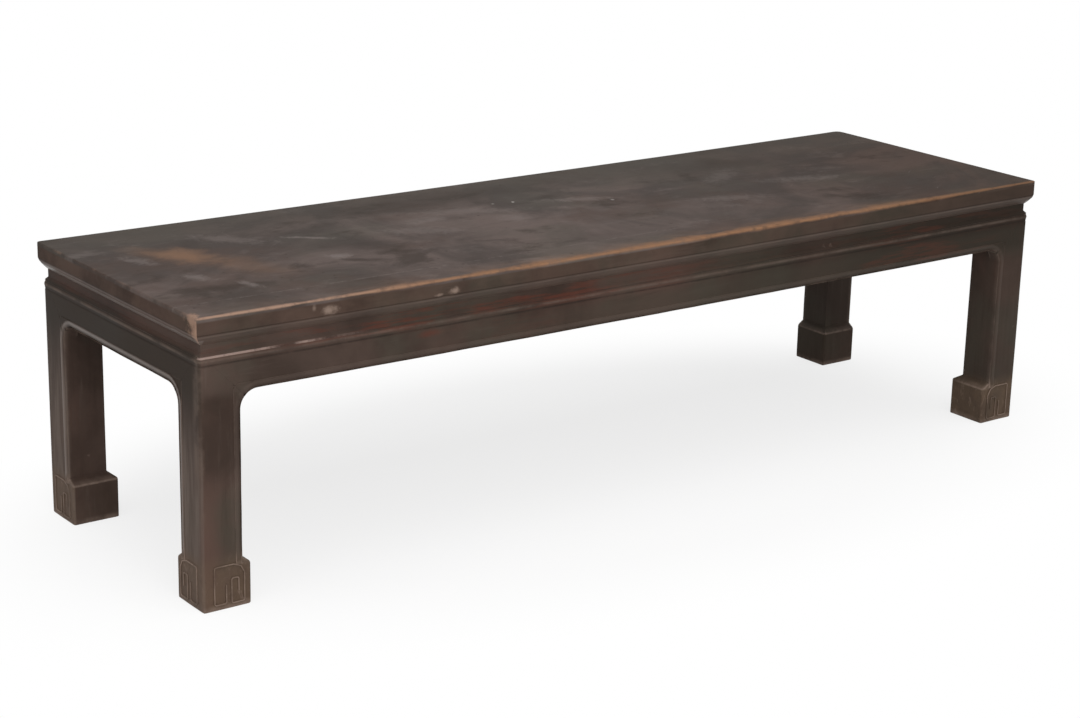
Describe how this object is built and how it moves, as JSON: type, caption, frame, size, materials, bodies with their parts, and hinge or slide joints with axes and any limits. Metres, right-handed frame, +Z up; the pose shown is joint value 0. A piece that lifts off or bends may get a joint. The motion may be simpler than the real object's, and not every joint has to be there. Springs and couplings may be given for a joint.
{
  "type": "low table",
  "caption": "Long low table with a framed top, recessed waist, beaded aprons and square legs on inward hoof feet, in worn dark lacquer.",
  "frame": {"origin": "on the floor, under the middle of the top", "axes": "+X along the length, +Y from the front to the back, +Z up"},
  "size_m": [1.444, 0.438, 0.38],
  "materials": {
    "top_lacquer": "worn dark brown lacquer, satin",
    "base_lacquer": "worn red-brown lacquer, satin",
    "underside_wood": "bare aged softwood, matt"
  },
  "bodies": {
    "root": {"top_frame_front": "top_lacquer", "top_frame_right": "top_lacquer", "top_frame_back": "top_lacquer", "top_frame_left": "top_lacquer", "top_board_front": "top_lacquer", "top_board_back": "top_lacquer", "batten_1": "underside_wood", "batten_2": "underside_wood", "batten_3": "underside_wood", "batten_4": "underside_wood", "waist_front": "base_lacquer", "apron_front": "base_lacquer", "waist_right": "base_lacquer", "apron_right": "base_lacquer", "waist_back": "base_lacquer", "apron_back": "base_lacquer", "waist_left": "base_lacquer", "apron_left": "base_lacquer", "leg_front_left": "base_lacquer", "leg_front_right": "base_lacquer", "leg_back_right": "base_lacquer", "leg_back_left": "base_lacquer"}
  },
  "joints": []
}
